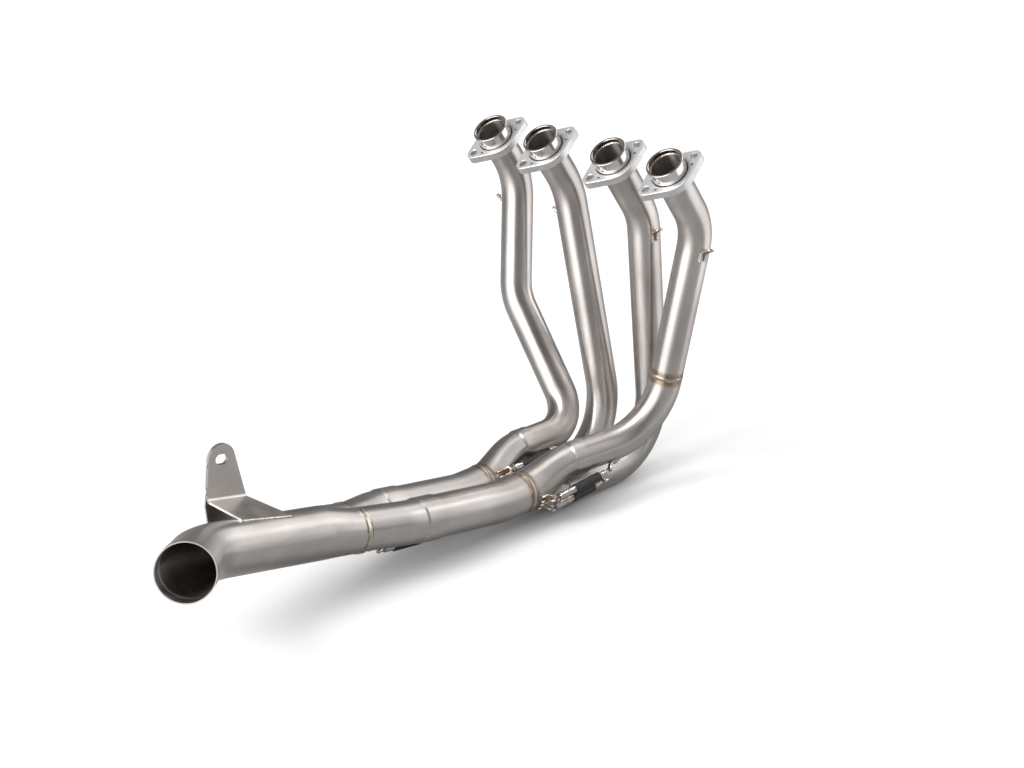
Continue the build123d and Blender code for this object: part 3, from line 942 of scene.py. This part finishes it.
@dataclass
class Studio:
    """White floor and backdrop, soft lights and the camera.

    A patch is a direction, the cosines of its outer and inner edge, and its gain. A patch of the floor is
    seen from an apex and glows in metal only: a painted reflection.
    """

    azimuth: float = math.radians(44.5)
    elevation: float = math.radians(19.94)
    eye: tuple[float, float, float] = (1.2733, -1.13768, 0.80777)
    lens: float = 59.77
    sensor: float = 36.0
    far_clip: float = 200.0
    floor_size: float = 60.0
    key_from: tuple[float, float, float] = (-0.2, -0.98, 1.0)
    key_strength: float = 3.0
    key_angle: float = math.radians(24.0)
    world_patches: tuple = (
        ((0.54, 0.72, 0.45), 0.84, 0.94, 2.2),
        ((-0.08, -1.0, 0.22), 0.78, 0.95, 4.2),
        ((0.12, 0.69, 0.71), 0.88, 0.97, 2.6),
    )
    # Floor patches that glow for glossy rays only: painted reflections in the metal.
    painted_reflection_patches: tuple = (
        ((0.45, 0.55, 0.0), ((0.6, 0.8, 0.0), 0.55, 0.95, 1.3)),
        ((0.1, -0.35, 0.0), ((-0.08, -1.0, 0.0), 0.6, 0.97, 2.8)),
    )
    base_light: float = 0.11
    floor_grey: float = 0.36
    floor_lift: float = 0.68
    # Reach of the ambient occlusion that paints contact shade into the floor's white glow.
    painted_shade_reach: float = 0.08
    metal_share: float = 0.12

    @staticmethod
    def combined(
        tree: bpy.types.NodeTree,
        how: str,
        first: object,
        second: object,
    ) -> bpy.types.NodeSocket:
        """Combine two values or sockets in one operation.

        Args:
            tree: The node tree that asks.
            how: Blender's name of the operation.
            first: A number or a socket.
            second: A number or a socket.

        Returns:
            The result.
        """
        node = tree.nodes.new("ShaderNodeMath")
        node.operation = how
        for socket, value in zip(node.inputs, (first, second)):
            if isinstance(value, float):
                socket.default_value = value
            else:
                tree.links.new(value, socket)
        return node.outputs[0]

    def metal_rays(self, tree: bpy.types.NodeTree, path: bpy.types.Node) -> bpy.types.NodeSocket:
        """Tell the rays that metal or glass sends out from all others.

        Args:
            tree: The node tree that asks.
            path: The tree's light path node.

        Returns:
            One for such a ray, else nought.
        """
        glossy, through = path.outputs["Is Glossy Ray"], path.outputs["Is Transmission Ray"]
        return self.combined(tree, "ADD", glossy, through)

    def patches(
        self,
        tree: bpy.types.NodeTree,
        where: bpy.types.NodeSocket,
        rows: tuple[tuple[tuple[float, float, float], float, float, float], ...],
        base: float,
    ) -> bpy.types.NodeSocket:
        """Brightness of a direction: a base level and soft-edged brighter patches.

        Args:
            tree: The node tree that asks.
            where: The direction, as a unit vector.
            rows: The patches, as the class says.
            base: The base level.

        Returns:
            The brightness.
        """
        level = base
        for direction, start, end, gain in rows:
            dot = tree.nodes.new("ShaderNodeVectorMath")
            dot.operation = "DOT_PRODUCT"
            tree.links.new(where, dot.inputs[0])
            dot.inputs[1].default_value = Vector(direction).normalized()
            patch = tree.nodes.new("ShaderNodeMapRange")
            patch.interpolation_type = "SMOOTHSTEP"
            tree.links.new(dot.outputs["Value"], patch.inputs["Value"])
            patch.inputs["From Min"].default_value = start
            patch.inputs["From Max"].default_value = end
            patch.inputs["To Max"].default_value = gain
            level = self.combined(tree, "ADD", patch.outputs["Result"], level)
        return level

    def camera(self) -> None:
        """Place the camera at the photograph's viewpoint."""
        data = bpy.data.cameras.new("photo_camera")
        data.lens = self.lens
        data.sensor_width = self.sensor
        data.sensor_fit = "HORIZONTAL"
        data.clip_end = self.far_clip
        camera = bpy.data.objects.new("photo_camera", data)
        camera.location = self.eye
        camera.rotation_euler = (math.pi / 2 - self.elevation, 0.0, self.azimuth)
        bpy.context.scene.collection.objects.link(camera)
        bpy.context.scene.camera = camera

    def floor(self) -> None:
        """Lay a floor that shows white, keeps the header's shadow, has painted contact shade near the
        header and glows in painted reflection patches in metal only.
        """
        half = self.floor_size / 2
        mesh = bpy.data.meshes.new("floor")
        mesh.from_pydata(
            [(-half, -half, 0), (half, -half, 0), (half, half, 0), (-half, half, 0)], [], [(0, 1, 2, 3)]
        )
        floor = bpy.data.objects.new("floor", mesh)
        bpy.context.scene.collection.objects.link(floor)
        material = bpy.data.materials.new("white_floor")
        material.use_nodes = True
        tree = material.node_tree
        tree.nodes.clear()
        out = tree.nodes.new("ShaderNodeOutputMaterial")
        paint = tree.nodes.new("ShaderNodeBsdfDiffuse")
        paint.inputs["Color"].default_value = (*(self.floor_grey,) * 3, 1.0)
        lift = tree.nodes.new("ShaderNodeEmission")
        both = tree.nodes.new("ShaderNodeAddShader")
        path = tree.nodes.new("ShaderNodeLightPath")
        painted_contact_shade = tree.nodes.new("ShaderNodeAmbientOcclusion")
        painted_contact_shade.inputs["Distance"].default_value = self.painted_shade_reach
        where = tree.nodes.new("ShaderNodeTexCoord").outputs["Object"]
        glow = self.metal_share * self.floor_lift
        # Brighter floor patches glow for glossy and transmission rays only: painted reflections in the
        # metal.
        for apex, row in self.painted_reflection_patches:
            offset = tree.nodes.new("ShaderNodeVectorMath")
            offset.operation = "SUBTRACT"
            offset.inputs[1].default_value = apex
            away = tree.nodes.new("ShaderNodeVectorMath")
            away.operation = "NORMALIZE"
            tree.links.new(where, offset.inputs[0])
            tree.links.new(offset.outputs[0], away.inputs[0])
            glow = self.patches(tree, away.outputs[0], (row,), glow)
        # The camera's white glow is multiplied by ambient occlusion: painted contact shade under and
        # beside the header.
        seen = self.combined(tree, "MULTIPLY", painted_contact_shade.outputs["AO"], self.floor_lift)
        seen = self.combined(tree, "MULTIPLY", seen, path.outputs["Is Camera Ray"])
        mirrored = self.combined(tree, "MULTIPLY", glow, self.metal_rays(tree, path))
        tree.links.new(self.combined(tree, "ADD", seen, mirrored), lift.inputs["Strength"])
        tree.links.new(paint.outputs[0], both.inputs[0])
        tree.links.new(lift.outputs[0], both.inputs[1])
        tree.links.new(both.outputs[0], out.inputs["Surface"])
        floor.data.materials.append(material)
        floor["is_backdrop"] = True

    def world(self) -> None:
        """Light the set from all round, with soft brighter patches."""
        world = bpy.data.worlds.new("studio")
        bpy.context.scene.world = world
        world.use_nodes = True
        tree = world.node_tree
        tree.nodes.clear()
        out = tree.nodes.new("ShaderNodeOutputWorld")
        light = tree.nodes.new("ShaderNodeBackground")
        white = tree.nodes.new("ShaderNodeBackground")
        mix = tree.nodes.new("ShaderNodeMixShader")
        path = tree.nodes.new("ShaderNodeLightPath")
        where = tree.nodes.new("ShaderNodeTexCoord").outputs["Generated"]
        glow = self.patches(tree, where, self.world_patches, self.base_light)
        mirrored = self.combined(tree, "MULTIPLY", self.metal_rays(tree, path), self.metal_share)
        backdrop = self.combined(tree, "ADD", path.outputs["Is Camera Ray"], mirrored)
        tree.links.new(glow, light.inputs["Strength"])
        tree.links.new(backdrop, mix.inputs["Fac"])
        tree.links.new(light.outputs[0], mix.inputs[1])
        tree.links.new(white.outputs[0], mix.inputs[2])
        white.inputs["Color"].default_value = (1.0, 1.0, 1.0, 1.0)
        white.inputs["Strength"].default_value = 1.0
        tree.links.new(mix.outputs[0], out.inputs["Surface"])

    def key(self) -> None:
        """Hang the key light, high behind the outlet."""
        data = bpy.data.lights.new("key", "SUN")
        data.energy = self.key_strength
        data.angle = self.key_angle
        key = bpy.data.objects.new("key", data)
        key.rotation_euler = Vector(self.key_from).to_track_quat("Z", "Y").to_euler()
        bpy.context.scene.collection.objects.link(key)

    def build(self) -> None:
        """Set up the floor, the lights and the camera."""
        bpy.context.scene.view_settings.view_transform = "Standard"
        self.camera()
        self.floor()
        self.world()
        self.key()
        LOG.info("studio ready")


def main() -> list[list[float]]:
    """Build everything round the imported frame.

    Returns:
        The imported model's box.
    """
    logging.basicConfig(level=logging.INFO, format="%(name)s: %(message)s")
    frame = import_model()
    packed_box = [list(corner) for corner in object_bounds()]
    nodes = frame["nodes"]
    finishes = Dresser(nodes).build()
    WoundSprings(nodes).build(finishes["spring"])
    SeamBeads(nodes).build(finishes["weld"])
    InletRow(nodes).build(finishes["weld"])
    Studio().build()
    return packed_box


if __name__ == "__main__":
    cad_box = main()
